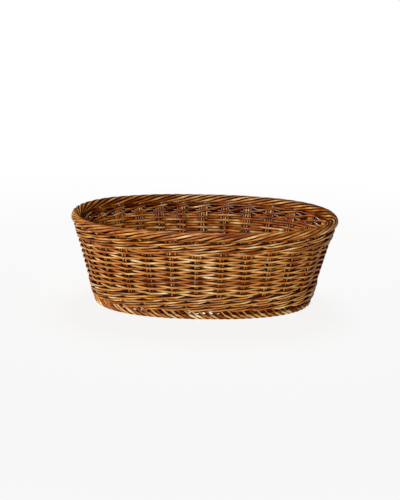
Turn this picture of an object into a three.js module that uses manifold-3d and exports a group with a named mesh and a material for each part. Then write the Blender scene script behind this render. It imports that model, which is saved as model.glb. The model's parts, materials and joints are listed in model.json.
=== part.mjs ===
import * as THREE from 'three';
import Module from 'manifold-3d';
import { mergeVertices } from 'three/addons/utils/BufferGeometryUtils.js';

// An oval wicker basket, woven from round rods. Millimetres, +Z up, length along X.
// The origin is at the middle of the foot, on the surface that the basket stands on.
// A share round the wall starts at the middle of the front, at -Y, and runs anticlockwise from above.

const wasm = await Module();
wasm.setup();

// Overall size
const basketLength = 380;
const basketWidth = 258;
const basketHeight = 130;
const footLength = 316;
const footWidth = 193;
const ovalPower = 2.3;

// Border rolls, and the height at which the woven wall starts
const rimRadius = 6.5;
const rimGrooveDepth = 1.3;
const rimGap = 0.4;
const footRadius = 4.35;
const wallBottom = 13.7;

// Stakes, which stand in pairs
const stakeCount = 28;
const firstStakeShare = 0.74;
const stakeDriftShare = 0.19;
const stakeRadius = 1.8;
const stakeRun = 14;
const stakeBend = 5;
const grooveShare = 0.5;

// Weaving rods
const rowCount = 17;
const bottomWaleRounds = 3;
const topWaleRounds = 2;
const waleStepShare = 1.99;
const waleRiseShare = 0.312;
const innerRiseShare = 0.62;
const rowGap = 0.45;
const rodClearance = 0.35;
const rodEndGap = 1.2;

// Foot border rods that slant from the wall down to the foot roll
const footRodsPerStake = 3;
const footRodRadius = 1.4;
const footRodLean = 9;

// Rim border: strands that lie side by side in the roll's section, and strands that pass over the rim
const rimLobes = 7;
const rimStrands = 2 * stakeCount;
const rimSteps = 2 * rimStrands;

// Base
const crossStickCount = 4;
const crossStickRadius = 2.4;
const longStickCount = 3;
const longStickRadius = 1.5;
const stickClearance = 0.3;
const matThickness = 0.4;
const upperMatRib = 1.9;
const lowerMatRib = 1.5;
const matInset = 7;
const matRingPitch = 19;
const matStakeRings = 2;
const matStickRings = 3;

// Colours of the rods
const honey = 0xb57f42;
const honeyDark = 0x9c6832;
const honeyPale = 0xc48f50;
const rodRoughness = 0.45;

// Heights and rod thickness that follow from the sizes above
const rimZ = basketHeight - rimRadius;
const wallTop = rimZ - rimRadius - rimGap;
const waleRows = (bottomWaleRounds + topWaleRounds) * waleStepShare;
const rowPitch = (wallTop - wallBottom) / (rowCount + waleRows);
const waleStep = rowPitch * waleStepShare;
const rowsBottom = wallBottom + bottomWaleRounds * waleStep;
const rowsTop = wallTop - topWaleRounds * waleStep;
const waleRise = waleStep * waleRiseShare;
const rodRadius = (rowPitch - rowGap) / 2;
const weaveOffset = stakeRadius + rodRadius + rodClearance;
const pairHalfWidth = 2 * stakeRadius;
const stickInset = stakeRun + stickClearance;
const lowestStroke = wallBottom + waleStep / 2 - waleRise * innerRiseShare - rodRadius;
const baseZ = lowestStroke - rodClearance - stakeRadius;
const upperMatZ = baseZ + crossStickRadius + stickClearance;
const lowerMatZ = baseZ - crossStickRadius - stickClearance;

// Wall surface

function lerp(from, to, share) {
	return from + (to - from) * share;
}

function signedPower(value, power) {
	return Math.sign(value) * Math.abs(value) ** power;
}

function halfSizes(z) {
	const share = (z - footRadius) / (rimZ - footRadius);
	return {
		length: lerp(footLength / 2 - footRadius, basketLength / 2 - rimRadius, share),
		width: lerp(footWidth / 2 - footRadius, basketWidth / 2 - rimRadius, share),
	};
}

function ovalPoint(angle, half) {
	return new THREE.Vector2(
		half.length * signedPower(Math.cos(angle), 2 / ovalPower),
		half.width * signedPower(Math.sin(angle), 2 / ovalPower),
	);
}

// Lengths round the oval at half height, so that equal shares are equal distances there
const outlineSteps = 2880;
const middleHalf = halfSizes((wallBottom + wallTop) / 2);
const lengthsRound = [0];
for (let i = 1; i <= outlineSteps; i++) {
	const here = ovalPoint(outlineAngle(i), middleHalf);
	const before = ovalPoint(outlineAngle(i - 1), middleHalf);
	lengthsRound.push(lengthsRound[i - 1] + here.distanceTo(before));
}
const wallPerimeter = lengthsRound[outlineSteps];

function outlineAngle(step) {
	return (step / outlineSteps) * 2 * Math.PI - Math.PI / 2;
}

function angleAtShare(share) {
	const target = (share - Math.floor(share)) * wallPerimeter;
	let low = 0;
	let high = outlineSteps;
	while (high - low > 1) {
		const middle = Math.floor((low + high) / 2);
		if (lengthsRound[middle] <= target) {
			low = middle;
		} else {
			high = middle;
		}
	}
	const part = (target - lengthsRound[low]) / (lengthsRound[high] - lengthsRound[low]);
	return outlineAngle(low + part);
}

function outwardAt(share, z) {
	const half = halfSizes(z);
	const point = ovalPoint(angleAtShare(share), half);
	const x = signedPower(point.x / half.length, ovalPower - 1) / half.length;
	const y = signedPower(point.y / half.width, ovalPower - 1) / half.width;
	return new THREE.Vector3(x, y, 0).normalize();
}

function wallPoint(share, z, offset) {
	const point = ovalPoint(angleAtShare(share), halfSizes(z));
	return new THREE.Vector3(point.x, point.y, z).addScaledVector(outwardAt(share, z), offset);
}

// The stakes are not quite evenly spaced: they drift one way at the front and the other way at the back
function stakeShare(index) {
	const even = (index + firstStakeShare) / stakeCount;
	return even - (stakeDriftShare * Math.cos(2 * Math.PI * even)) / stakeCount;
}

// Rods

// A run of straight pieces from point to point, with the section's first axis kept towards a given side
class RodPath extends THREE.Curve {
	constructor(points, sides, closed) {
		super();
		this.points = points;
		this.sides = sides;
		this.closed = closed;
	}

	getPoint(share, target = new THREE.Vector3()) {
		const place = share * (this.points.length - 1);
		const index = Math.min(Math.floor(place), this.points.length - 2);
		return target.lerpVectors(this.points[index], this.points[index + 1], place - index);
	}

	getUtoTmapping(share) {
		return share;
	}

	computeFrenetFrames(steps) {
		const frames = { tangents: [], normals: [], binormals: [] };
		for (let i = 0; i <= steps; i++) {
			const before = i > 0 ? i - 1 : this.closed ? steps - 1 : 0;
			const after = i < steps ? i + 1 : this.closed ? 1 : steps;
			const tangent = this.points[after].clone().sub(this.points[before]).normalize();
			const normal = this.sides[i].clone();
			normal.addScaledVector(tangent, -normal.dot(tangent)).normalize();
			frames.tangents.push(tangent);
			frames.normals.push(normal);
			frames.binormals.push(tangent.clone().cross(normal));
		}
		return frames;
	}
}

function polygonSection(radius, sides, turnShare) {
	const points = [];
	for (let i = 0; i < sides; i++) {
		const angle = ((i + turnShare) / sides) * 2 * Math.PI;
		points.push(new THREE.Vector2(radius * Math.cos(angle), radius * Math.sin(angle)));
	}
	return new THREE.Shape(points);
}

const rodSection = polygonSection(rodRadius, 4, 0);

// Rods lying side by side as one outline, with a groove between neighbours
function bundleSection(count, radius) {
	const upper = [];
	for (let i = 0; i < count; i++) {
		const middle = (2 * i - count + 1) * radius;
		upper.push(new THREE.Vector2(middle, radius));
		if (i < count - 1) {
			upper.push(new THREE.Vector2(middle + radius, radius * grooveShare));
		}
	}
	const lower = upper.map((point) => new THREE.Vector2(-point.x, -point.y));
	const left = new THREE.Vector2(-count * radius, 0);
	const right = new THREE.Vector2(count * radius, 0);
	return new THREE.Shape([left, ...upper, right, ...lower]);
}

function openRod(section, points, sides) {
	const path = new RodPath(points, sides, false);
	return new THREE.ExtrudeGeometry(section, { steps: points.length - 1, extrudePath: path });
}

// The last point is the first one again, so the ends are left out and the walls close on themselves
function closedRod(section, points, sides) {
	const path = new RodPath(points, sides, true);
	const geometry = new THREE.ExtrudeGeometry(section, { steps: points.length - 1, extrudePath: path });
	const walls = geometry.groups[1];
	const position = geometry.getAttribute('position');
	const size = position.itemSize;
	const kept = position.array.slice(walls.start * size, (walls.start + walls.count) * size);
	const skin = new THREE.BufferGeometry();
	skin.setAttribute('position', new THREE.BufferAttribute(kept, size));
	return skin;
}

// Booleans

function toSolid(geometry) {
	const bare = geometry.clone();
	bare.deleteAttribute('normal');
	bare.deleteAttribute('uv');
	const merged = mergeVertices(bare);
	const vertProperties = new Float32Array(merged.getAttribute('position').array);
	const triVerts = new Uint32Array(merged.index.array);
	return new wasm.Manifold(new wasm.Mesh({ numProp: 3, vertProperties, triVerts }));
}

function toGeometry(solid) {
	const mesh = solid.getMesh();
	const geometry = new THREE.BufferGeometry();
	geometry.setAttribute('position', new THREE.BufferAttribute(mesh.vertProperties, 3));
	geometry.setIndex(new THREE.BufferAttribute(mesh.triVerts, 1));
	return geometry;
}

// Basket

const basket = new THREE.Group();

function addPiece(name, geometry, color) {
	geometry.computeVertexNormals();
	const material = new THREE.MeshStandardMaterial({ color, roughness: rodRoughness, metalness: 0 });
	const mesh = new THREE.Mesh(geometry, material);
	mesh.name = name;
	basket.add(mesh);
}

function numbered(name, index) {
	return `${name}_${String(index + 1).padStart(2, '0')}`;
}

// A stake pair runs out from under the base mat, bends up and stands in the wall up to the rim
const stakeSection = bundleSection(2, stakeRadius);

function stakePair(index) {
	const share = stakeShare(index);
	const points = [wallPoint(share, baseZ, -stakeRun)];
	const bendSteps = 3;
	for (let i = 0; i <= bendSteps; i++) {
		const angle = (i / bendSteps) * (Math.PI / 2);
		const offset = -stakeBend * (1 - Math.sin(angle));
		points.push(wallPoint(share, baseZ + stakeBend * (1 - Math.cos(angle)), offset));
	}
	points.push(wallPoint(share, wallTop, 0));
	const outward = outwardAt(share, baseZ);
	const along = new THREE.Vector3(-outward.y, outward.x, 0);
	return openRod(stakeSection, points, points.map(() => along));
}

for (let i = 0; i < stakeCount; i++) {
	addPiece(numbered('stake_pair', i), stakePair(i), honeyPale);
}

// A row is one rod, woven in front of one stake pair and behind the next; its ends meet inside
function weaverRow(row) {
	const z = rowsBottom + (row + 0.5) * rowPitch;
	const edgeShare = pairHalfWidth / wallPerimeter;
	const endShare = rodEndGap / 2 / wallPerimeter;
	const firstStake = stakeCount / 2 + (row % 2);
	const points = [];
	const sides = [];
	const addPoint = (share, offset) => {
		points.push(wallPoint(share, z, offset));
		sides.push(outwardAt(share, z));
	};
	addPoint(stakeShare(firstStake) + endShare, -weaveOffset);
	addPoint(stakeShare(firstStake) + edgeShare, -weaveOffset);
	for (let i = 1; i < stakeCount; i++) {
		const offset = i % 2 === 0 ? -weaveOffset : weaveOffset;
		addPoint(stakeShare(firstStake + i) - edgeShare, offset);
		addPoint(stakeShare(firstStake + i) + edgeShare, offset);
	}
	addPoint(stakeShare(firstStake + stakeCount) - edgeShare, -weaveOffset);
	addPoint(stakeShare(firstStake + stakeCount) - endShare, -weaveOffset);
	return openRod(rodSection, points, sides);
}

for (let row = 0; row < rowCount; row++) {
	addPiece(numbered('weaver_row', row), weaverRow(row), row % 2 === 0 ? honey : honeyDark);
}

// A wale round passes in front of two stake pairs, rising, and behind one, falling, three times round
function waleRound(z) {
	const strokeStakes = 3;
	const innerRise = waleRise * innerRiseShare;
	const edgeShare = pairHalfWidth / wallPerimeter;
	const points = [];
	const sides = [];
	const addPoint = (share, offset, rise) => {
		points.push(wallPoint(share, z + rise, offset));
		sides.push(outwardAt(share, z));
	};
	for (let stroke = 0; stroke < stakeCount; stroke++) {
		const first = stroke * strokeStakes;
		addPoint(stakeShare(first) - edgeShare, weaveOffset, -waleRise);
		addPoint(stakeShare(first) + edgeShare, weaveOffset, -waleRise * innerRiseShare);
		addPoint(stakeShare(first + 1) - edgeShare, weaveOffset, waleRise * innerRiseShare);
		addPoint(stakeShare(first + 1) + edgeShare, weaveOffset, waleRise);
		addPoint(stakeShare(first + 2) - edgeShare, -weaveOffset, innerRise);
		addPoint(stakeShare(first + 2) + edgeShare, -weaveOffset, -innerRise);
	}
	points.push(points[0].clone());
	sides.push(sides[0].clone());
	return closedRod(rodSection, points, sides);
}

function waleBand(name, rounds, bottom) {
	for (let round = 0; round < rounds; round++) {
		addPiece(`${name}_${round + 1}`, waleRound(bottom + (round + 0.5) * waleStep), honey);
	}
}

waleBand('bottom_wale_round', bottomWaleRounds, wallBottom);
waleBand('top_wale_round', topWaleRounds, rowsTop);

// The rim border is a roll of strands laid like a rope, rising on the outside
function rimBorder() {
	const corners = [];
	for (let i = 0; i < 2 * rimLobes; i++) {
		const radius = i % 2 === 0 ? rimRadius : rimRadius - rimGrooveDepth;
		const angle = (i / (2 * rimLobes)) * 2 * Math.PI;
		corners.push(new THREE.Vector2(radius * Math.cos(angle), radius * Math.sin(angle)));
	}
	const turns = rimStrands / rimLobes;
	const points = [];
	const sides = [];
	for (let i = 0; i <= rimSteps; i++) {
		const share = i / rimSteps;
		const turn = 2 * Math.PI * turns * share;
		const side = outwardAt(share, rimZ).multiplyScalar(Math.cos(turn));
		points.push(wallPoint(share, rimZ, 0));
		sides.push(side.add(new THREE.Vector3(0, 0, Math.sin(turn))));
	}
	return closedRod(new THREE.Shape(corners), points, sides);
}

addPiece('rim_border', rimBorder(), honeyPale);

// The foot border is a roll that lies flat on the ground, with rods slanting up from it to the wall
function footBorder() {
	const rollSides = 8;
	const rollSection = polygonSection(footRadius / Math.cos(Math.PI / rollSides), rollSides, 0.5);
	const rollSteps = 2 * stakeCount;
	const points = [];
	const sides = [];
	for (let i = 0; i <= rollSteps; i++) {
		points.push(wallPoint(i / rollSteps, footRadius, 0));
		sides.push(outwardAt(i / rollSteps, footRadius));
	}
	let solid = toSolid(closedRod(rollSection, points, sides));
	const rodCount = footRodsPerStake * stakeCount;
	const leanShare = footRodLean / wallPerimeter;
	const topZ = wallBottom + waleStep / 2 - waleRise - rodRadius - footRodRadius;
	const footRodSection = polygonSection(footRodRadius, 4, 0);
	for (let i = 0; i < rodCount; i++) {
		const share = (i + 0.5) / rodCount;
		const top = wallPoint(share, topZ, weaveOffset);
		const bottom = wallPoint(share + leanShare, footRadius, 0);
		const outward = outwardAt(share, footRadius);
		solid = solid.add(toSolid(openRod(footRodSection, [bottom, top], [outward, outward])));
	}
	return toGeometry(solid);
}

addPiece('foot_border', footBorder(), honey);

// Base: long sticks threaded through split cross sticks, held between the upper and lower weave
function straightStick(section, halfLength, direction) {
	const start = direction.clone().multiplyScalar(-halfLength);
	const end = direction.clone().multiplyScalar(halfLength);
	start.z = baseZ;
	end.z = baseZ;
	const side = new THREE.Vector3(-direction.y, direction.x, 0);
	return openRod(section, [start, end], [side, side]);
}

const alongX = new THREE.Vector3(1, 0, 0);
const alongY = new THREE.Vector3(0, 1, 0);
const longHalf = halfSizes(baseZ).length - stickInset;
const longSection = bundleSection(longStickCount, longStickRadius);
addPiece('base_long_sticks', straightStick(longSection, longHalf, alongX), honeyDark);

const splitWidth = 2 * (longStickCount * longStickRadius + stickClearance);
const splitHeight = 2 * (longStickRadius + stickClearance);
const crossPitch = 2 * wallPoint(1 / stakeCount, baseZ, 0).x;
for (let i = 0; i < crossStickCount; i++) {
	const x = (i - (crossStickCount - 1) / 2) * crossPitch;
	const edgeX = (Math.abs(x) + crossStickRadius) / (halfSizes(baseZ).length - stickInset);
	const reach = (halfSizes(baseZ).width - stickInset) * (1 - edgeX ** ovalPower) ** (1 / ovalPower);
	const stick = straightStick(polygonSection(crossStickRadius, 8, 0.5), reach, alongY);
	stick.translate(x, 0, 0);
	const split = new THREE.BoxGeometry(4 * crossStickRadius, splitWidth, splitHeight);
	split.translate(x, 0, baseZ);
	const solid = toSolid(stick).subtract(toSolid(split));
	addPiece(`base_cross_stick_${i + 1}`, toGeometry(solid), honeyDark);
}

// The woven base is a mat for each face, flat where it lies against the sticks. Its other face has a rib over each
// stake pair, and further in a rib along each cross stick.
function baseMat(ribHeight) {
	const columns = 2 * stakeCount;
	const outer = halfSizes(baseZ);
	const positions = [];
	const triangles = [];
	const addRing = (inset, heightAt) => {
		const half = { length: outer.length - inset, width: outer.width - inset };
		for (let column = 0; column < columns; column++) {
			const point = ovalPoint(angleAtShare(stakeShare(column / 2)), half);
			positions.push(point.x, point.y, heightAt(column, point.x));
		}
	};
	const ribbed = (share) => matThickness + (ribHeight * (1 + share)) / 2;
	const overStakes = (column) => ribbed(Math.cos(column * Math.PI));
	const overSticks = (column, x) => ribbed(-Math.cos((2 * Math.PI * x) / crossPitch));
	addRing(matInset, () => 0);
	for (let ring = 0; ring < matStakeRings; ring++) {
		addRing(matInset + ring * matRingPitch, overStakes);
	}
	for (let ring = matStakeRings; ring < matStakeRings + matStickRings; ring++) {
		addRing(matInset + ring * matRingPitch, overSticks);
	}

	const lastRing = matStakeRings + matStickRings;
	for (let ring = 0; ring < lastRing; ring++) {
		for (let column = 0; column < columns; column++) {
			const here = ring * columns + column;
			const beside = ring * columns + ((column + 1) % columns);
			triangles.push(here, beside, beside + columns, here, beside + columns, here + columns);
		}
	}
	for (const triangle of ringCap(0, columns)) {
		triangles.push(...triangle.reverse());
	}
	for (const triangle of ringCap(lastRing * columns, columns)) {
		triangles.push(...triangle);
	}
	const mat = new THREE.BufferGeometry();
	mat.setAttribute('position', new THREE.Float32BufferAttribute(positions, 3));
	mat.setIndex(triangles);
	return toSolid(mat);
}

// Closes a ring with a strip of triangles across it, which starts at one end of the oval
function ringCap(first, count) {
	const end = Math.round(count / 4);
	const at = (step) => first + ((end + step + count) % count);
	const triangles = [];
	for (let step = 0; step < count / 2; step++) {
		if (step > 0) {
			triangles.push([at(-step), at(step), at(step + 1)]);
		}
		if (step < count / 2 - 1) {
			triangles.push([at(-step), at(step + 1), at(-step - 1)]);
		}
	}
	return triangles;
}

const upperMat = baseMat(upperMatRib).translate(0, 0, upperMatZ);
const lowerMat = baseMat(lowerMatRib).mirror([0, 0, 1]).translate(0, 0, lowerMatZ);
addPiece('base_weave_upper', toGeometry(upperMat), honey);
addPiece('base_weave_lower', toGeometry(lowerMat), honey);

export default basket;
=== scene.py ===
import json
import math
import random
from bisect import bisect_right

import bpy
from mathutils import Matrix, Vector

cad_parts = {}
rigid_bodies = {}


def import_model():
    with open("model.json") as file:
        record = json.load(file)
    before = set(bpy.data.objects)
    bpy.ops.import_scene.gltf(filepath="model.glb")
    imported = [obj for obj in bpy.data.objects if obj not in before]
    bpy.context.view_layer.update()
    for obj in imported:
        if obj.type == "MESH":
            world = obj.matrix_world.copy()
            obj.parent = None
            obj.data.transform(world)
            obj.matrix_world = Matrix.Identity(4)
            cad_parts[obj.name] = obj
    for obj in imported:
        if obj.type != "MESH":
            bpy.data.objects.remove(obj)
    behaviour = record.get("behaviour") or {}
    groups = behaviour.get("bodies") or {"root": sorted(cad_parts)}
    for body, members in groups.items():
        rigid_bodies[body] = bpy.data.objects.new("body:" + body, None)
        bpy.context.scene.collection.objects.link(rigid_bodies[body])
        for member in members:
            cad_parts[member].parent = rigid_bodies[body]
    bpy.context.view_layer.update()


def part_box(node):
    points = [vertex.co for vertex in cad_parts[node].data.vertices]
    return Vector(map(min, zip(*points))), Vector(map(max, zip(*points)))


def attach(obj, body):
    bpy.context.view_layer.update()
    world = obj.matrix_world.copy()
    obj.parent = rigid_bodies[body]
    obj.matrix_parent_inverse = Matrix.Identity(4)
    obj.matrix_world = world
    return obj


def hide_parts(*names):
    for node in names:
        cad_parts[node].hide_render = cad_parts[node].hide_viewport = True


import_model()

mm = 0.001


# Shape of the wall

rimLow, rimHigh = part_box("rim_border")
wall = {
    "ovalPower": 2.3,
    "height": 130 * mm,
    "rimRadius": 6.5 * mm,
    "rimGap": 0.4 * mm,  # between the weave and the rim roll
    "footRadius": 4.35 * mm,
    "footHalfLength": 153.65 * mm,  # to the middle of the foot roll
    "footHalfWidth": 92.15 * mm,
    "bottom": 13.7 * mm,  # where the weave starts, above the foot border
    "stakeCount": 28,
    "firstStakeShare": 0.74,  # of one spacing, from the middle of the front
    "stakeDriftShare": 0.19,  # how far the stakes stand off even spacing
    "rowCount": 17,
    "bottomWaleRounds": 3,
    "topWaleRounds": 2,
    "waleStepShare": 1.99,  # height of a wale round, in rows
    "outlineSteps": 2880,
    "steepShare": 2,  # a rod this much further below a roll than across from it faces as the wall does
}
rimHalfLength = (rimHigh.x - rimLow.x) / 2 - wall["rimRadius"]
rimHalfWidth = (rimHigh.y - rimLow.y) / 2 - wall["rimRadius"]
rimZ = wall["height"] - wall["rimRadius"]
wallTop = rimZ - wall["rimRadius"] - wall["rimGap"]
waleRows = (wall["bottomWaleRounds"] + wall["topWaleRounds"]) * wall["waleStepShare"]
rowPitch = (wallTop - wall["bottom"]) / (wall["rowCount"] + waleRows)
waleStep = rowPitch * wall["waleStepShare"]
rowsBottom = wall["bottom"] + waleStep * wall["bottomWaleRounds"]
rowsTop = wallTop - waleStep * wall["topWaleRounds"]
wallLean = math.atan((rimHalfWidth - wall["footHalfWidth"]) / (rimZ - wall["footRadius"]))


def lerp(start, end, share):
    return start + (end - start) * share


def signedPower(value, power):
    return math.copysign(abs(value) ** power, value)


def halfSizes(z):
    share = (z - wall["footRadius"]) / (rimZ - wall["footRadius"])
    length = lerp(wall["footHalfLength"], rimHalfLength, share)
    width = lerp(wall["footHalfWidth"], rimHalfWidth, share)
    return length, width


def ovalPoint(angle, halfLength, halfWidth):
    power = 2 / wall["ovalPower"]
    x = halfLength * signedPower(math.cos(angle), power)
    y = halfWidth * signedPower(math.sin(angle), power)
    return Vector((x, y, 0))


def outlineAngle(step):
    return 2 * math.pi * step / wall["outlineSteps"] - math.pi / 2


def lengthsRound():
    half = halfSizes((wall["bottom"] + wallTop) / 2)
    total = [0.0]
    before = ovalPoint(outlineAngle(0), *half)
    for step in range(1, wall["outlineSteps"] + 1):
        here = ovalPoint(outlineAngle(step), *half)
        total.append(total[-1] + (here - before).length)
        before = here
    return total


outlineLengths = lengthsRound()
wallPerimeter = outlineLengths[-1]


def angleAt(share):
    target = (share % 1.0) * wallPerimeter
    low = min(bisect_right(outlineLengths, target) - 1, wall["outlineSteps"] - 1)
    part = (target - outlineLengths[low]) / (outlineLengths[low + 1] - outlineLengths[low])
    return outlineAngle(low + part)


def ovalPlace(share, halfLength, halfWidth, z, offset=0.0, lateral=0.0):
    # offset goes outwards, lateral goes anticlockwise seen from above
    point = ovalPoint(angleAt(share), halfLength, halfWidth)
    power = wall["ovalPower"] - 1
    x = signedPower(point.x / halfLength, power) / halfLength
    y = signedPower(point.y / halfWidth, power) / halfWidth
    outward = Vector((x, y, 0)).normalized()
    along = Vector((-outward.y, outward.x, 0))
    place = point + outward * offset + along * lateral
    place.z = z
    return place, outward


def shareAt(spacings):
    # spacings are counted in stakes round the wall, from the first stake
    even = (spacings + wall["firstStakeShare"]) / wall["stakeCount"]
    return even - wall["stakeDriftShare"] * math.cos(2 * math.pi * even) / wall["stakeCount"]


def turnedUp(outward, angle):
    return outward * math.cos(angle) + Vector((0, 0, math.sin(angle)))


def wallPlace(spacings, z, offset=0.0, lateral=0.0):
    # a place on the wall, and the way that the wall faces there
    place, outward = ovalPlace(shareAt(spacings), *halfSizes(z), z, offset, lateral)
    return place, turnedUp(outward, -wallLean)


def wovenPlace(spacings, height, offset):
    # offset goes out square to the leaning wall
    return wallPlace(spacings, height - offset * math.sin(wallLean), offset * math.cos(wallLean))


def rollPlace(spacings, rollZ, offset, z, lateral=0.0):
    # a rod that goes round a roll faces away from its middle
    share = shareAt(spacings)
    place, outward = ovalPlace(share, *halfSizes(z), z, offset, lateral)
    rollMiddle = ovalPlace(share, *halfSizes(rollZ), rollZ)[0]
    across = (place - rollMiddle).dot(outward)
    below = rollZ - z
    if below > wall["rimRadius"] and below > wall["steepShare"] * abs(across):
        return place, turnedUp(outward, -wallLean)
    return place, turnedUp(outward, math.atan2(z - rollZ, across))


def eased(knots, period, place):
    # cosine steps between knots that repeat with the period
    place = (place - knots[0][0]) % period + knots[0][0]
    ends = knots + [(knots[0][0] + period, knots[0][1])]
    for (startPlace, startValue), (endPlace, endValue) in zip(ends, ends[1:]):
        if place <= endPlace:
            share = (place - startPlace) / (endPlace - startPlace)
            return lerp(startValue, endValue, 0.5 - 0.5 * math.cos(math.pi * share))
    return knots[0][1]


def smoothLine(controls, steps):
    # Catmull-Rom curve through control points of any dimension
    ends = [controls[0], *controls, controls[-1]]
    points = []
    for i in range(1, len(ends) - 2):
        before, start, end, after = (Vector(ends[i + k]) for k in (-1, 0, 1, 2))
        for step in range(steps):
            t = step / steps
            point = 2 * start + (end - before) * t
            point += (2 * before - 5 * start + 4 * end - after) * t * t
            point += (3 * start - before - 3 * end + after) * t * t * t
            points.append(0.5 * point)
    points.append(Vector(controls[-1]))
    return points


# Node helpers

nodeSpacing = (190, 170)


def addNode(tree, kind, place, inputs=None, **settings):
    # each input is the output of another node, or a value
    node = tree.nodes.new(kind)
    node.location = (place[0] * nodeSpacing[0], -place[1] * nodeSpacing[1])
    for name, value in settings.items():
        setattr(node, name, value)
    for name, value in (inputs or {}).items():
        if isinstance(value, bpy.types.NodeSocket):
            tree.links.new(value, node.inputs[name])
        else:
            node.inputs[name].default_value = value
    return node


def addMath(tree, place, operation, *values):
    node = addNode(tree, "ShaderNodeMath", place, dict(enumerate(values)), operation=operation)
    return node.outputs["Value"]


def addVectorMath(tree, place, operation, inputs):
    return addNode(tree, "ShaderNodeVectorMath", place, inputs, operation=operation).outputs


def addRange(tree, place, value, fromRange, toRange, **settings):
    inputs = {
        "Value": value,
        "From Min": fromRange[0],
        "From Max": fromRange[1],
        "To Min": toRange[0],
        "To Max": toRange[1],
    }
    return addNode(tree, "ShaderNodeMapRange", place, inputs, **settings).outputs["Result"]


def emptyTree(owner):
    owner.use_nodes = True
    owner.node_tree.nodes.clear()
    return owner.node_tree


# Rods: a Geometry Nodes tree lays a round rod along every line of a mesh

rodSockets = {
    "radius": ("Rod radius", "NodeSocketFloat"),
    "sides": ("Sides", "NodeSocketInt"),
    "wobble": ("Wobble", "NodeSocketFloat"),
    "wobbleScale": ("Wobble scale", "NodeSocketFloat"),
    "unevenness": ("Unevenness", "NodeSocketFloat"),
    "seed": ("Seed", "NodeSocketFloat"),
    "material": ("Material", "NodeSocketMaterial"),
}
rodInputs = {}


def storeNamed(tree, place, geometry, name, kind, value):
    inputs = {"Geometry": geometry, "Name": name, "Value": value}
    node = addNode(tree, "GeometryNodeStoreNamedAttribute", place, inputs, data_type=kind, domain="POINT")
    return node.outputs["Geometry"]


def readNamed(tree, place, name, kind):
    node = addNode(tree, "GeometryNodeInputNamedAttribute", place, {"Name": name}, data_type=kind)
    return node.outputs["Attribute"]


def makeRodTree():
    tree = bpy.data.node_groups.new("rodAlongLine", "GeometryNodeTree")
    tree.is_modifier = True
    tree.interface.new_socket(name="Geometry", in_out="INPUT", socket_type="NodeSocketGeometry")
    for name, (label, kind) in rodSockets.items():
        rodInputs[name] = tree.interface.new_socket(name=label, in_out="INPUT", socket_type=kind).identifier
    tree.interface.new_socket(name="Geometry", in_out="OUTPUT", socket_type="NodeSocketGeometry")
    given = addNode(tree, "NodeGroupInput", (0, 0)).outputs
    line = addNode(tree, "GeometryNodeMeshToCurve", (1, 0), {"Mesh": given["Geometry"]}).outputs["Curve"]

    # a rod wanders a little off its line
    where = addNode(tree, "GeometryNodeInputPosition", (1, 2)).outputs["Position"]
    waveInputs = {"Vector": where, "Scale": given["Wobble scale"], "W": given["Seed"], "Detail": 1.0}
    wave = addNode(tree, "ShaderNodeTexNoise", (2, 2), waveInputs, noise_dimensions="4D").outputs
    centred = addVectorMath(tree, (3, 2), "SUBTRACT", {0: wave["Color"], 1: (0.5, 0.5, 0.5)})["Vector"]
    sized = addVectorMath(tree, (4, 2), "SCALE", {0: centred, "Scale": given["Wobble"]})["Vector"]
    movedInputs = {"Geometry": line, "Offset": sized}
    moved = addNode(tree, "GeometryNodeSetPosition", (5, 0), movedInputs).outputs["Geometry"]
    run = addNode(tree, "GeometryNodeSplineParameter", (5, 3)).outputs["Length"]
    marked = storeNamed(tree, (6, 0), moved, "alongRod", "FLOAT", run)

    # its thickness changes a little along the way
    thick = readNamed(tree, (5, 4), "thick", "FLOAT")
    swell = addMath(tree, (6, 4), "SUBTRACT", wave["Fac"], 0.5)
    uneven = addMath(tree, (7, 4), "MULTIPLY_ADD", swell, given["Unevenness"], thick)
    widthInputs = {"Curve": marked, "Radius": uneven}
    sizedLine = addNode(tree, "GeometryNodeSetCurveRadius", (7, 0), widthInputs).outputs["Curve"]
    facedInputs = {"Curve": sizedLine, "Normal": readNamed(tree, (7, 5), "facing", "FLOAT_VECTOR")}
    faced = addNode(tree, "GeometryNodeSetCurveNormal", (8, 1), facedInputs, mode="FREE").outputs["Curve"]

    # the round section remembers where each of its points lies
    ringInputs = {"Resolution": given["Sides"], "Radius": given["Rod radius"]}
    ring = addNode(tree, "GeometryNodeCurvePrimitiveCircle", (6, 6), ringInputs).outputs["Curve"]
    ringPlace = addNode(tree, "GeometryNodeInputPosition", (6, 8)).outputs["Position"]
    markedRing = storeNamed(tree, (7, 6), ring, "roundRod", "FLOAT_VECTOR", ringPlace)
    meshInputs = {"Curve": faced, "Profile Curve": markedRing, "Fill Caps": True}
    rod = addNode(tree, "GeometryNodeCurveToMesh", (8, 0), meshInputs).outputs["Mesh"]
    smooth = addNode(tree, "GeometryNodeSetShadeSmooth", (9, 0), {"Geometry": rod}).outputs["Geometry"]
    real = addNode(tree, "GeometryNodeRealizeInstances", (10, 0), {"Geometry": smooth}).outputs["Geometry"]
    finishInputs = {"Geometry": real, "Material": given["Material"]}
    finish = addNode(tree, "GeometryNodeSetMaterial", (11, 0), finishInputs).outputs["Geometry"]
    addNode(tree, "NodeGroupOutput", (12, 0), {"Geometry": finish})
    return tree


rodTree = makeRodTree()


def rodLine(places, tone, thick=1.0, cover=0.0):
    # places are points, each with the way that side of the rod faces; cover is 1 where a rod lies
    # outside its neighbours and -1 where it lies inside them
    points, facings = zip(*places)
    thickness = thick if isinstance(thick, list) else [thick] * len(points)
    covers = cover if isinstance(cover, list) else [cover] * len(points)
    return {
        "points": points,
        "facing": [value for facing in facings for value in facing],
        "tone": [tone] * len(points),
        "thick": thickness,
        "cover": covers,
    }


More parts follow.
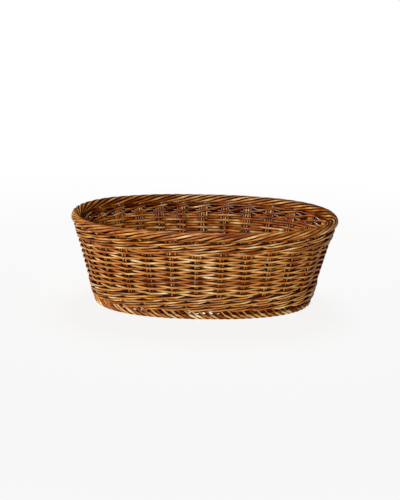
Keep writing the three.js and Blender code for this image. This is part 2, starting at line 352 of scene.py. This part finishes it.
def linesMesh(name, rods):
    vertices = []
    edges = []
    for rod in rods:
        first = len(vertices)
        vertices.extend(rod["points"])
        edges.extend((i, i + 1) for i in range(first, len(vertices) - 1))
    mesh = bpy.data.meshes.new(name)
    mesh.from_pydata(vertices, edges, [])
    for key, kind, field in (
        ("facing", "FLOAT_VECTOR", "vector"),
        ("tone", "FLOAT", "value"),
        ("thick", "FLOAT", "value"),
        ("cover", "FLOAT", "value"),
    ):
        values = [value for rod in rods for value in rod[key]]
        mesh.attributes.new(key, kind, "POINT").data.foreach_set(field, values)
    return mesh


def makeRods(name, rods, settings, material, node):
    lines = bpy.data.objects.new(name + "Lines", linesMesh(name + "Lines", rods))
    bpy.context.collection.objects.link(lines)
    modifier = lines.modifiers.new("rods", "NODES")
    modifier.node_group = rodTree
    for key, socket in rodInputs.items():
        modifier[socket] = material if key == "material" else settings[key]
    depsgraph = bpy.context.evaluated_depsgraph_get()
    mesh = bpy.data.meshes.new_from_object(lines.evaluated_get(depsgraph), depsgraph=depsgraph)
    mesh.name = name
    piece = bpy.data.objects.new(name, mesh)
    bpy.context.collection.objects.link(piece)
    bpy.data.objects.remove(lines)
    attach(piece, "root")
    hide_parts(node)


# Finish of the rods

def srgb(red, green, blue):
    def linear(value):
        value /= 255
        return value / 12.92 if value <= 0.04045 else ((value + 0.055) / 1.055) ** 2.4
    return (linear(red), linear(green), linear(blue), 1.0)


caneLook = {
    "dark": (84, 24, 1),
    "deep": (144, 65, 9),
    "middle": (189, 108, 31),
    "light": (232, 171, 90),
    "pale": (255, 236, 185),
    "paintedShade": (34, 6, 0),  # painted shade: colour of the shade in the creases where rods lie against each other and where one covers another
    # how dark the painted shade gets where another rod covers the face
    "coverShadeDepth": 0.97,
    "innerShade": -0.15,  # painted shade: the side of a rod that faces in is darker
    "roughness": (0.24, 0.4),
    "specular": 0.3,
    "bumpStrength": 0.35,
    "bumpDistance": 0.25 * mm,
    "grainShift": 37.0,  # moves the grain by the tone of the rod, so that no two are alike
    "grainRoughness": 0.6,
    # grain along and round the rod, its detail and how much it changes the tone
    "streak": {"along": 45.0, "around": 1500.0, "detail": 3.0, "weight": 1.1},
    "mottle": {"along": 38.0, "around": 260.0, "detail": 2.0, "weight": 1.6},
}


def readAttribute(tree, place, name):
    return addNode(tree, "ShaderNodeAttribute", place, attribute_name=name).outputs


def makeCane(name, settings):
    material = bpy.data.materials.new(name)
    tree = emptyTree(material)
    along = readAttribute(tree, (0, 0), "alongRod")["Fac"]
    around = readAttribute(tree, (0, 1), "roundRod")["Vector"]
    tone = readAttribute(tree, (0, 2), "tone")["Fac"]
    cover = readAttribute(tree, (6, 10), "cover")["Fac"]

    def grain(row, look):
        start = addMath(tree, (1, row), "MULTIPLY", tone, caneLook["grainShift"])
        place = addMath(tree, (2, row), "MULTIPLY_ADD", along, look["along"], start)
        sized = addVectorMath(tree, (2, row + 1), "SCALE", {0: around, "Scale": look["around"]})["Vector"]
        split = addNode(tree, "ShaderNodeSeparateXYZ", (3, row + 1), {"Vector": sized}).outputs
        joinedInputs = {"X": place, "Y": split["X"], "Z": split["Y"]}
        noiseInputs = {
            "Vector": addNode(tree, "ShaderNodeCombineXYZ", (4, row), joinedInputs).outputs["Vector"],
            "Scale": 1.0,
            "Detail": look["detail"],
            "Roughness": caneLook["grainRoughness"],
        }
        return addNode(tree, "ShaderNodeTexNoise", (5, row), noiseInputs).outputs["Fac"]

    def mixIn(before, value, weight, column):
        centred = addMath(tree, (column, 4), "SUBTRACT", value, 0.5)
        return addMath(tree, (column + 1, 4), "MULTIPLY_ADD", centred, weight, before)

    streak = grain(0, caneLook["streak"])
    mottle = grain(2, caneLook["mottle"])
    shifted = addMath(tree, (5, 5), "ADD", tone, settings["toneShift"])
    level = mixIn(shifted, mottle, caneLook["mottle"]["weight"], 6)
    level = mixIn(level, streak, caneLook["streak"]["weight"], 8)

    # X goes to the face of the rod and Y to its sides
    section = addNode(tree, "ShaderNodeSeparateXYZ", (6, 8), {"Vector": around}).outputs
    distance = addVectorMath(tree, (7, 9), "LENGTH", {0: around})["Value"]
    sideways = addMath(tree, (7, 8), "ABSOLUTE", section["Y"])
    sideShare = addMath(tree, (8, 8), "DIVIDE", sideways, distance)
    outShare = addMath(tree, (8, 10), "DIVIDE", section["X"], distance)
    # painted shade on the side of a rod that faces in
    inner = addRange(tree, (9, 6), outShare, (-1.0, 1.0), (caneLook["innerShade"], 0.0))
    shaded = addMath(tree, (10, 6), "ADD", level, inner)
    ramp = addNode(tree, "ShaderNodeValToRGB", (10, 3), {"Fac": shaded})
    stops = ramp.color_ramp.elements
    stops[0].color = srgb(*caneLook["dark"])
    stops[1].color = srgb(*caneLook["pale"])
    for position, name in ((0.25, "deep"), (0.5, "middle"), (0.75, "light")):
        stops.new(position).color = srgb(*caneLook[name])

    # painted shade in the creases at the sides of a rod and where another rod covers its face
    soft = {"interpolation_type": "SMOOTHSTEP"}
    sideShaded = addRange(tree, (9, 8), sideShare, settings["sideShade"], (0.0, 1.0), **soft)
    hidden = addMath(tree, (9, 10), "MULTIPLY", outShare, cover)
    coverShadeDepth = (0.0, caneLook["coverShadeDepth"])
    coverShaded = addRange(tree, (10, 10), hidden, settings["coverShade"], coverShadeDepth, **soft)
    paintedShading = addMath(tree, (11, 8), "MAXIMUM", sideShaded, coverShaded)
    colorInputs = {0: paintedShading, 6: ramp.outputs["Color"], 7: srgb(*caneLook["paintedShade"])}
    color = addNode(tree, "ShaderNodeMix", (12, 3), colorInputs, data_type="RGBA").outputs[2]

    bumpInputs = {
        "Height": streak,
        "Strength": caneLook["bumpStrength"],
        "Distance": caneLook["bumpDistance"],
    }
    caneInputs = {
        "Base Color": color,
        "Roughness": addRange(tree, (10, 0), streak, (0.0, 1.0), caneLook["roughness"]),
        # no specular where the shade is painted
        "Specular IOR Level": addRange(tree, (12, 0), paintedShading, (0.0, 1.0), (caneLook["specular"], 0.0)),
        "Normal": addNode(tree, "ShaderNodeBump", (10, 1), bumpInputs).outputs["Normal"],
    }
    cane = addNode(tree, "ShaderNodeBsdfPrincipled", (13, 1), caneInputs)
    addNode(tree, "ShaderNodeOutputMaterial", (14, 1), {"Surface": cane.outputs["BSDF"]})
    return material


# Stakes

baseZ = 12.2 * mm
stakes = {
    "radius": 1.6 * mm,
    "sides": 10,
    "wobble": 0.5 * mm,
    "wobbleScale": 25.0,
    "unevenness": 0.12,
    "seed": 3.0,
    "drawSeed": 11,
    "tone": (0.3, 0.65),  # darkest and palest rod
    "toneShift": 0.0,  # added to the tone of every rod
    "sideShade": (0.3, 0.9),  # where painted shade starts and is full, from the face of the rod, 0, to its side, 1
    "coverShade": (0.0, -1.0),  # the same, from where no rod covers it, 1, to where one does, -1
    "apart": 1.85 * mm,  # from the middle of the pair
    "lean": 0.7 * mm,  # most that a rod bows sideways
    "run": 30 * mm,  # under the base
    "runSteps": 5,
    "bend": 5 * mm,
    "bendSteps": 6,
    "wallSteps": 26,
}
stakeCane = makeCane("stakeCane", stakes)


def stakeRod(index, side):
    lateral = side * stakes["apart"]
    lean = stakeRandom.uniform(-stakes["lean"], stakes["lean"])
    points = []
    for i in range(stakes["runSteps"]):
        inwards = lerp(stakes["run"], stakes["bend"], i / stakes["runSteps"])
        points.append(wallPlace(index, baseZ, -inwards, lateral))
    for i in range(stakes["bendSteps"] + 1):
        angle = math.pi / 2 * i / stakes["bendSteps"]
        offset = -stakes["bend"] * (1 - math.sin(angle))
        points.append(wallPlace(index, baseZ + stakes["bend"] * (1 - math.cos(angle)), offset, lateral))
    bottom = baseZ + stakes["bend"]
    for i in range(1, stakes["wallSteps"] + 1):
        share = i / stakes["wallSteps"]
        aside = lateral + lean * math.sin(math.pi * share)
        points.append(wallPlace(index, lerp(bottom, wallTop, share), 0, aside))
    return rodLine(points, stakeRandom.uniform(*stakes["tone"]))


stakeRandom = random.Random(stakes["drawSeed"])
for index in range(wall["stakeCount"]):
    pair = [stakeRod(index, -1), stakeRod(index, 1)]
    number = f"{index + 1:02d}"
    makeRods("stakePair" + number, pair, stakes, stakeCane, "stake_pair_" + number)
print("stakes done")


# Plain weave

weave = {
    "radius": 2.03 * mm,
    "sides": 12,
    "wobble": 0.7 * mm,
    "wobbleScale": 24.0,
    "unevenness": 0.16,
    "seed": 7.0,
    "seedStep": 0.35,  # from row to row
    "drawSeed": 23,
    "tone": (0.4, 0.62),
    "thick": (0.97, 1.04),  # share of the radius, thinnest and thickest rod
    "toneShift": 0.02,
    "sideShade": (0.45, 0.98),
    "coverShade": (-0.25, -0.8),
    "outerReach": 2.9 * mm,
    "innerReach": 2.8 * mm,
    "flatness": -0.45,  # below 0 a rod bends more sharply at each stake
    "stepsPerStake": 12,
    "endOverlap": 0.16,  # stake spacings that the ends run on behind a stake
    "endRun": 0.4,
    "endRise": 0.9 * mm,  # one end lies over the other
}
weaverCane = makeCane("weaverCane", weave)


def weaverLine(row):
    z = rowsBottom + (row + 0.5) * rowPitch
    start = wall["stakeCount"] // 2 + row % 2
    steps = wall["stakeCount"] * weave["stepsPerStake"]
    points = []
    waves = []
    first = -weave["endOverlap"]
    last = wall["stakeCount"] + weave["endOverlap"]
    for i in range(steps + 1):
        place = lerp(first, last, i / steps)
        wave = -math.cos(math.pi * place)
        wave *= 1 + weave["flatness"] * (1 - wave * wave)
        waves.append(wave)
        nearStart = max(0, 1 - (place - first) / weave["endRun"])
        nearEnd = max(0, 1 - (last - place) / weave["endRun"])
        rise = weave["endRise"] * (nearEnd - nearStart)
        reach = weave["outerReach"] if wave > 0 else weave["innerReach"]
        points.append(wovenPlace(start + place, z + rise, reach * wave))
    return rodLine(points, weaveRandom.uniform(*weave["tone"]), weaveRandom.uniform(*weave["thick"]), waves)


weaveRandom = random.Random(weave["drawSeed"])
for row in range(wall["rowCount"]):
    rowSettings = {**weave, "seed": weave["seed"] + row * weave["seedStep"]}
    number = f"{row + 1:02d}"
    rods = [weaverLine(row)]
    makeRods("weaverRow" + number, rods, rowSettings, weaverCane, "weaver_row_" + number)
print("weave done")


# Three-rod wale, in front of two stake pairs and behind one

wale = {
    "radius": 1.82 * mm,
    "sides": 12,
    "wobble": 0.8 * mm,
    "wobbleScale": 24.0,
    "unevenness": 0.16,
    "seed": 31.0,
    "drawSeed": 41,
    "tone": (0.42, 0.67),
    "thick": (0.97, 1.05),
    "toneShift": 0.0,
    "sideShade": (0.35, 0.95),
    "coverShade": (0.1, -0.7),
    "stroke": 3,  # stake spacings from one stroke of a rod to its next
    # stake spacings and share of the reach, in front of two stakes and behind one
    "waves": [(-0.1, 1.0), (1.1, 1.0), (1.75, -1.0), (2.25, -1.0)],
    "reach": 3.5 * mm,
    "rise": waleStep / 2,  # over one stake spacing, outside
    "riseFrom": -0.5,
    "riseTo": 1.4,
    "softness": 0.3,  # stake spacings over which a stroke turns from rising to falling
    "stepsPerStake": 12,
    "starts": (20, 47, 74, 104),  # where each rod of the round begins and the last one ends
}
waleCane = makeCane("waleCane", wale)


def waleRise(place):
    # rises steadily while the rod is outside and falls back inside
    outside = wale["riseTo"] - wale["riseFrom"]
    inside = wale["stroke"] - outside
    shifts = (-0.5, 0, 0.5)

    def level(at):
        at = (at - wale["riseFrom"]) % wale["stroke"]
        return at - outside / 2 if at < outside else outside / 2 - (at - outside) * outside / inside
    return wale["rise"] * sum(level(place + shift * wale["softness"]) for shift in shifts) / len(shifts)


def waleRods(z):
    rods = []
    for start, end in zip(wale["starts"], wale["starts"][1:]):
        steps = (end - start) * wale["stepsPerStake"]
        points = []
        waves = []
        for i in range(steps + 1):
            place = lerp(start, end, i / steps)
            waves.append(eased(wale["waves"], wale["stroke"], place))
            points.append(wovenPlace(place, z + waleRise(place), wale["reach"] * waves[-1]))
        tone = waleRandom.uniform(*wale["tone"])
        rods.append(rodLine(points, tone, waleRandom.uniform(*wale["thick"]), waves))
    return rods


waleRandom = random.Random(wale["drawSeed"])
for level, bottom in (("bottom", wall["bottom"]), ("top", rowsTop)):
    for turn in range(wall[level + "WaleRounds"]):
        rods = waleRods(bottom + (turn + 0.5) * waleStep)
        name = f"{level}WaleRound{turn + 1}"
        makeRods(name, rods, wale, waleCane, f"{level}_wale_round_{turn + 1}")
print("wales done")


# Rim border: each stake rod leans over, goes once round the roll and is tucked in beside the fourth pair on

rim = {
    "radius": 1.95 * mm,
    "sides": 10,
    "wobble": 0.85 * mm,
    "wobbleScale": 25.0,
    "unevenness": 0.12,
    "seed": 51.0,
    "drawSeed": 61,
    "tone": (0.36, 0.68),
    "thick": (0.93, 1.05),
    "toneShift": 0.0,
    "sideShade": (0.5, 1.0),
    "coverShade": (0.0, -1.0),
    # stake spacings along, distance outwards and height above the wall
    "rise": ((0, 0, -12 * mm), (0.02, 0, -3 * mm), (0.1, 0.5 * mm, 0.3 * mm)),
    "tuck": ((3.98, -0.3 * mm, -1 * mm), (4, 0, -9 * mm)),
    "turnRadius": 4.5 * mm,
    "turnAngles": (-75, 255),
    "lead": 0.3,  # stake spacings before the turn
    "turn": 3.4,  # stake spacings for one turn
    "turnSteps": 16,
    "settleSteps": 3,  # of the turn, over which the rods of a pair part and spread evenly round the rim
    "spread": 0.25,  # stake spacings that each moves
    "tuckApart": 5.4 * mm,
    "tuckBottom": 92 * mm,
    "tuckVary": 3 * mm,
    "tuckPoints": 12,  # the last points of a rod are thinner
    "tuckThick": 0.8,
    "curveSteps": 4,
    # rods inside the roll: distance outwards, height above its middle and thickness
    "cores": ((0, 0, 1.35), (-1.4 * mm, -4.2 * mm, 1), (1.4 * mm, -4.6 * mm, 1), (-3 * mm, -7.8 * mm, 0.9)),
    # painted shade: the rods inside the roll are dark, so the gaps between the strands show dark
    "coreShadeTone": 0.2,
    "coreSteps": 6,  # in each stake spacing
}
borderCane = makeCane("borderCane", rim)


def rimStrand(index, side):
    apart = side * stakes["apart"]
    controls = [(index + along, out, wallTop + up, apart) for along, out, up in rim["rise"]]
    for i in range(rim["turnSteps"] + 1):
        share = i / rim["turnSteps"]
        settled = min(1, i / rim["settleSteps"])
        angle = math.radians(lerp(*rim["turnAngles"], share))
        controls.append((
            index + rim["lead"] + rim["turn"] * share + rim["spread"] * side * settled,
            rim["turnRadius"] * math.cos(angle),
            rimZ + rim["turnRadius"] * math.sin(angle),
            lerp(apart, 0, settled),
        ))
    aside = side * rim["tuckApart"]
    controls += [(index + along, out, wallTop + up, aside) for along, out, up in rim["tuck"]]
    tip = rim["tuckBottom"] + rimRandom.uniform(-rim["tuckVary"], rim["tuckVary"])
    controls.append((index + rim["tuck"][-1][0], 0, tip, aside))
    line = smoothLine(controls, rim["curveSteps"])
    points = [rollPlace(place, rimZ, offset, z, lateral) for place, offset, z, lateral in line]
    size = rimRandom.uniform(*rim["thick"])
    thickness = [size] * (len(points) - rim["tuckPoints"]) + [size * rim["tuckThick"]] * rim["tuckPoints"]
    return rodLine(points, rimRandom.uniform(*rim["tone"]), thickness)


def rimCore(out, up, thick):
    steps = wall["stakeCount"] * rim["coreSteps"]
    points = [wallPlace(i / rim["coreSteps"], rimZ + up, out) for i in range(steps + 1)]
    return rodLine(points, rim["coreShadeTone"], thick)


rimRandom = random.Random(rim["drawSeed"])
rimRods = [rimStrand(index, side) for index in range(wall["stakeCount"]) for side in (-1, 1)]
rimRods += [rimCore(*core) for core in rim["cores"]]
makeRods("rimBorder", rimRods, rim, borderCane, "rim_border")
print("rim done")


# Foot border: rods that slant down from under the wale and go round the foot roll

foot = {
    "radius": 2.1 * mm,
    "sides": 10,
    "wobble": 0.5 * mm,
    "wobbleScale": 30.0,
    "unevenness": 0.12,
    "seed": 71.0,
    "drawSeed": 73,
    "tone": (0.5, 0.7),
    "thick": (0.92, 1.04),
    "rodsPerStake": 3,
    "startVary": 0.05,
    # stake spacings along, distance outwards and height
    "descent": ((-0.15, 0, 20 * mm), (0.04, 0.8 * mm, 14.8 * mm), (0.22, 2 * mm, 10.8 * mm)),
    "tuck": ((0.1, -2.6 * mm, 10 * mm), (0.15, -3.4 * mm, 13 * mm)),
    "turnRadius": 2.25 * mm,
    "turnAngles": (50, -215),
    "lead": 0.38,
    "turn": 1.1,
    "turnSteps": 12,
    "curveSteps": 3,
    # two rods behind the others: height, and its change at a gap
    "behind": ((11.4 * mm, 2.5 * mm), (8.2 * mm, -3.3 * mm)),
    "behindOffset": -1.9 * mm,
    "behindTone": 0.5,
    "behindThick": 0.82,
    "behindSteps": 8,  # in each stake spacing
    # where the rods behind part and leave holes between the others, as (stake spacings, share)
    "gaps": [
        (-7.2, 0), (-6.7, 1), (-3.6, 1), (-3.2, 0),
        (-1.5, 0), (-1.1, 1), (0, 1), (0.4, 0),
        (3.8, 0), (4.6, 0.9), (6.2, 1), (6.8, 0),
        (9, 0), (9.7, 1), (11.4, 0.9), (12, 0),
        (15.6, 0), (16.2, 1), (18.5, 0.9), (19, 0),
    ],
}


def footRod(index):
    start = index / foot["rodsPerStake"] + footRandom.uniform(-foot["startVary"], foot["startVary"])
    controls = [(start + along, out, z) for along, out, z in foot["descent"]]
    for i in range(foot["turnSteps"] + 1):
        share = i / foot["turnSteps"]
        angle = math.radians(lerp(*foot["turnAngles"], share))
        controls.append((
            start + foot["lead"] + foot["turn"] * share,
            foot["turnRadius"] * math.cos(angle),
            wall["footRadius"] + foot["turnRadius"] * math.sin(angle),
        ))
    end = start + foot["lead"] + foot["turn"]
    controls += [(end + along, out, z) for along, out, z in foot["tuck"]]
    line = smoothLine(controls, foot["curveSteps"])
    points = [rollPlace(place, wall["footRadius"], offset, z) for place, offset, z in line]
    return rodLine(points, footRandom.uniform(*foot["tone"]), footRandom.uniform(*foot["thick"]))


def footWeaver(height, move):
    # a rod that runs behind the others and shuts most of the holes between them
    steps = wall["stakeCount"] * foot["behindSteps"]
    points = []
    for i in range(steps + 1):
        place = i / foot["behindSteps"]
        z = height + move * eased(foot["gaps"], wall["stakeCount"], place)
        points.append(rollPlace(place, wall["footRadius"], foot["behindOffset"], z))
    return rodLine(points, foot["behindTone"], foot["behindThick"])


footRandom = random.Random(foot["drawSeed"])
footRods = [footRod(index) for index in range(wall["stakeCount"] * foot["rodsPerStake"])]
footRods += [footWeaver(*rod) for rod in foot["behind"]]
makeRods("footBorder", footRods, foot, borderCane, "foot_border")
print("foot done")


# Base: long sticks, split cross sticks and a pair of rods woven round them

base = {
    "radius": 1.5 * mm,
    "sides": 8,
    "wobble": 0.4 * mm,
    "wobbleScale": 30.0,
    "unevenness": 0.14,
    "seed": 91.0,
    "drawSeed": 97,
    # painted shade: the base rods are darker, as the floor of the basket lies in shade
    "toneShift": -0.25,
    "sideShade": (0.4, 1.0),
    "coverShade": (0.0, -1.0),
    "upperTone": 0.55,
    "lowerTone": 0.45,
    "edgeInset": 6.2 * mm,
    "pitch": 3.15 * mm,
    "rings": 28,
    "reach": 3.3 * mm,
    "twist": 1.1 * mm,
    "stakeZone": 36 * mm,  # from the edge, where the rods pass the stakes and not the sticks
    "ringStart": -0.5,  # stake spacings
    "ringSteps": 280,
    "longRadius": 1.5 * mm,
    "longTones": (0.3, 0.4, 0.5),
    "crossRadius": 2.4 * mm,
    "crossSides": 12,
    "crossTone": (0.3, 0.6),
    "crossCount": 4,
    "stickInset": 14.3 * mm,
    "stickSteps": 12,
    "stickClear": 3,  # radii of a cross stick, by which a ring has to reach past it
}
baseCane = makeCane("baseCane", base)
upwards = Vector((0, 0, 1))


def straightRod(start, end, tone):
    steps = base["stickSteps"]
    return rodLine([(start.lerp(end, i / steps), upwards) for i in range(steps + 1)], tone)


def longSticks():
    half = halfSizes(baseZ)[0] - base["stickInset"]
    rods = []
    for i, tone in zip((-1, 0, 1), base["longTones"]):
        y = 2 * i * base["longRadius"]
        rods.append(straightRod(Vector((-half, y, baseZ)), Vector((half, y, baseZ)), tone))
    return rods


baseRandom = random.Random(base["drawSeed"])
longSettings = {**base, "radius": base["longRadius"]}
makeRods("baseLongSticks", longSticks(), longSettings, baseCane, "base_long_sticks")
crossSettings = {**base, "radius": base["crossRadius"], "sides": base["crossSides"]}
stickPlaces = []
for i in range(base["crossCount"]):
    node = f"base_cross_stick_{i + 1}"
    low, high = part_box(node)
    middle = (low + high) / 2
    stickPlaces.append(middle.x)
    ends = [Vector((middle.x, y, middle.z)) for y in (low.y, high.y)]
    stick = straightRod(*ends, baseRandom.uniform(*base["crossTone"]))
    makeRods(f"baseCrossStick{i + 1}", [stick], crossSettings, baseCane, node)


def sticksPassed(x, y, length):
    # counts the sticks that a ring has crossed on its way round from its left end
    reached = length - base["stickClear"] * base["crossRadius"]
    stops = [-length, *(place for place in stickPlaces if abs(place) < reached), length]
    last = len(stops) - 1
    for i in range(last):
        if x <= stops[i + 1] or i == last - 1:
            passed = i + (x - stops[i]) / (stops[i + 1] - stops[i])
            break
    # the first stick to the left of the middle counts as even
    passed -= last // 2
    return passed if y < 0 else last - 2 * (last // 2) - passed


def baseRing(ring, side):
    length, width = halfSizes(baseZ)
    points = []
    for i in range(base["ringSteps"] + 1):
        share = i / base["ringSteps"]
        # the first and last rounds are level and the others run on into the next
        rounds = min(max(0, ring + share - 1), base["rings"] - 2)
        inset = base["edgeInset"] + base["pitch"] * (base["rings"] - 2 - rounds)
        place = base["ringStart"] + wall["stakeCount"] * share
        passed = place
        if inset > base["stakeZone"]:
            middle = ovalPlace(shareAt(place), length - inset, width - inset, baseZ)[0]
            passed = sticksPassed(middle.x, middle.y, length - inset)
        inset += side * base["twist"] * math.sin(math.pi * passed)
        z = baseZ + side * base["reach"] * math.cos(math.pi * passed)
        points.append((ovalPlace(shareAt(place), length - inset, width - inset, z)[0], upwards))
    return points


def baseWeave(side, tone):
    points = [point for ring in range(base["rings"]) for point in baseRing(ring, side)]
    return [rodLine(points, tone)]


upperWeave = baseWeave(1, base["upperTone"])
lowerWeave = baseWeave(-1, base["lowerTone"])
makeRods("baseWeaveUpper", upperWeave, base, baseCane, "base_weave_upper")
makeRods("baseWeaveLower", lowerWeave, base, baseCane, "base_weave_lower")
print("base done")


# Camera, at the photograph's angle

viewFrom = {
    "distance": 1.372,
    "elevation": 15.18,
    "azimuth": -2.46,
    "roll": 1.53,
    "focalPixels": 947.5,
    "framePixels": 500,
    "sensor": 36.0,
    "clip": (0.05, 50),
    "aimRight": -5.79 * mm,
    "aimUp": 8.94 * mm,
    "aimHeight": 64.2 * mm,
}


def placeCamera():
    data = bpy.data.cameras.new("camera")
    data.sensor_width = viewFrom["sensor"]
    data.lens = viewFrom["focalPixels"] / viewFrom["framePixels"] * viewFrom["sensor"]
    data.clip_start, data.clip_end = viewFrom["clip"]
    elevation = math.radians(viewFrom["elevation"])
    azimuth = math.radians(viewFrom["azimuth"])
    back = Vector((
        math.sin(azimuth) * math.cos(elevation),
        -math.cos(azimuth) * math.cos(elevation),
        math.sin(elevation),
    ))
    right = Vector((math.cos(azimuth), math.sin(azimuth), 0))
    up = back.cross(right)
    target = Vector((0, 0, viewFrom["aimHeight"])) + right * viewFrom["aimRight"] + up * viewFrom["aimUp"]
    roll = math.radians(viewFrom["roll"])
    rightRolled = right * math.cos(roll) + up * math.sin(roll)
    upRolled = up * math.cos(roll) - right * math.sin(roll)
    turned = Matrix((rightRolled, upRolled, back)).transposed()
    camera = bpy.data.objects.new("camera", data)
    camera.matrix_world = Matrix.Translation(target + back * viewFrom["distance"]) @ turned.to_4x4()
    bpy.context.collection.objects.link(camera)
    bpy.context.scene.camera = camera


placeCamera()


# Floor, light and background

studio = {
    "floorHalfSize": 30,
    "floorColor": (0.3, 0.3, 0.3, 1.0),
    "floorGlow": 0.88,
    "farFloor": (0.5, 1.6),  # metres over which the floor grows to full white
    "floorBounce": 0.45,  # light that a white floor throws back up
    "worldColor": (1, 1, 1, 1),
    "worldStrength": 0.05,
    "aim": (0, 0, 0.06),
    "lamps": {
        "keyLight": {"place": (-0.4, -1.85, 0.68), "power": 27, "size": 0.25},
        "sideLight": {"place": (-1.6, -0.1, 0.9), "power": 17, "size": 0.5},
        "backLight": {"place": (0.7, 2.0, 0.6), "power": 20, "size": 0.5},
        "topLight": {"place": (0.05, 0.7, 1.7), "power": 6.5, "size": 0.8},
    },
    "floorLamps": ("topLight",),  # the only shadow on the floor is this lamp's, as in the photograph
    "dullLamps": ("backLight",),  # no glints along the rim from behind
}


def makeFloor():
    mesh = bpy.data.meshes.new("floor")
    size = studio["floorHalfSize"]
    corners = [(-size, -size, 0), (size, -size, 0), (size, size, 0), (-size, size, 0)]
    mesh.from_pydata(corners, [], [(0, 1, 2, 3)])
    floor = bpy.data.objects.new("floor", mesh)
    bpy.context.collection.objects.link(floor)
    material = bpy.data.materials.new("paleFloor")
    tree = emptyTree(material)
    seen = addNode(tree, "ShaderNodeLightPath", (0, 0)).outputs["Is Camera Ray"]
    where = addNode(tree, "ShaderNodeTexCoord", (-2, 1)).outputs["Object"]
    away = addVectorMath(tree, (-1, 1), "LENGTH", {0: where})["Value"]
    level = addRange(tree, (0, 1), away, studio["farFloor"], (studio["floorGlow"], 1.0))
    glowInputs = {0: seen, 2: studio["floorBounce"], 3: level}
    glow = addNode(tree, "ShaderNodeMix", (2, 0), glowInputs, data_type="FLOAT").outputs[0]
    light = addNode(tree, "ShaderNodeEmission", (3, 0), {"Strength": glow}).outputs["Emission"]
    matt = addNode(tree, "ShaderNodeBsdfDiffuse", (3, 1), {"Color": studio["floorColor"]}).outputs["BSDF"]
    both = addNode(tree, "ShaderNodeAddShader", (4, 0), {0: light, 1: matt}).outputs["Shader"]
    addNode(tree, "ShaderNodeOutputMaterial", (5, 0), {"Surface": both})
    mesh.materials.append(material)


def makeWorld():
    world = bpy.data.worlds.new("studio")
    bpy.context.scene.world = world
    tree = emptyTree(world)
    rays = addNode(tree, "ShaderNodeLightPath", (0, 0)).outputs
    seen = addMath(tree, (1, 0), "MAXIMUM", rays["Is Camera Ray"], rays["Is Transmission Ray"])
    level = addRange(tree, (2, 0), seen, (0.0, 1.0), (studio["worldStrength"], 1.0))
    backInputs = {"Color": studio["worldColor"], "Strength": level}
    back = addNode(tree, "ShaderNodeBackground", (3, 0), backInputs).outputs["Background"]
    addNode(tree, "ShaderNodeOutputWorld", (4, 0), {"Surface": back})


def areaLight(name, place, power, size):
    data = bpy.data.lights.new(name, "AREA")
    data.energy = power
    data.size = size
    lamp = bpy.data.objects.new(name, data)
    lamp.location = place
    aim = Vector(studio["aim"]) - Vector(place)
    lamp.rotation_euler = aim.to_track_quat("-Z", "Y").to_euler()
    bpy.context.collection.objects.link(lamp)
    return lamp


basketOnly = bpy.data.collections.new("basketOnly")
for piece in bpy.data.objects:
    if piece.type == "MESH":
        basketOnly.objects.link(piece)
makeFloor()
makeWorld()
for name, settings in studio["lamps"].items():
    lamp = areaLight(name, **settings)
    if name not in studio["floorLamps"]:
        lamp.light_linking.receiver_collection = basketOnly
    lamp.visible_glossy = name not in studio["dullLamps"]
bpy.context.scene.view_settings.view_transform = "Standard"
print("studio done")
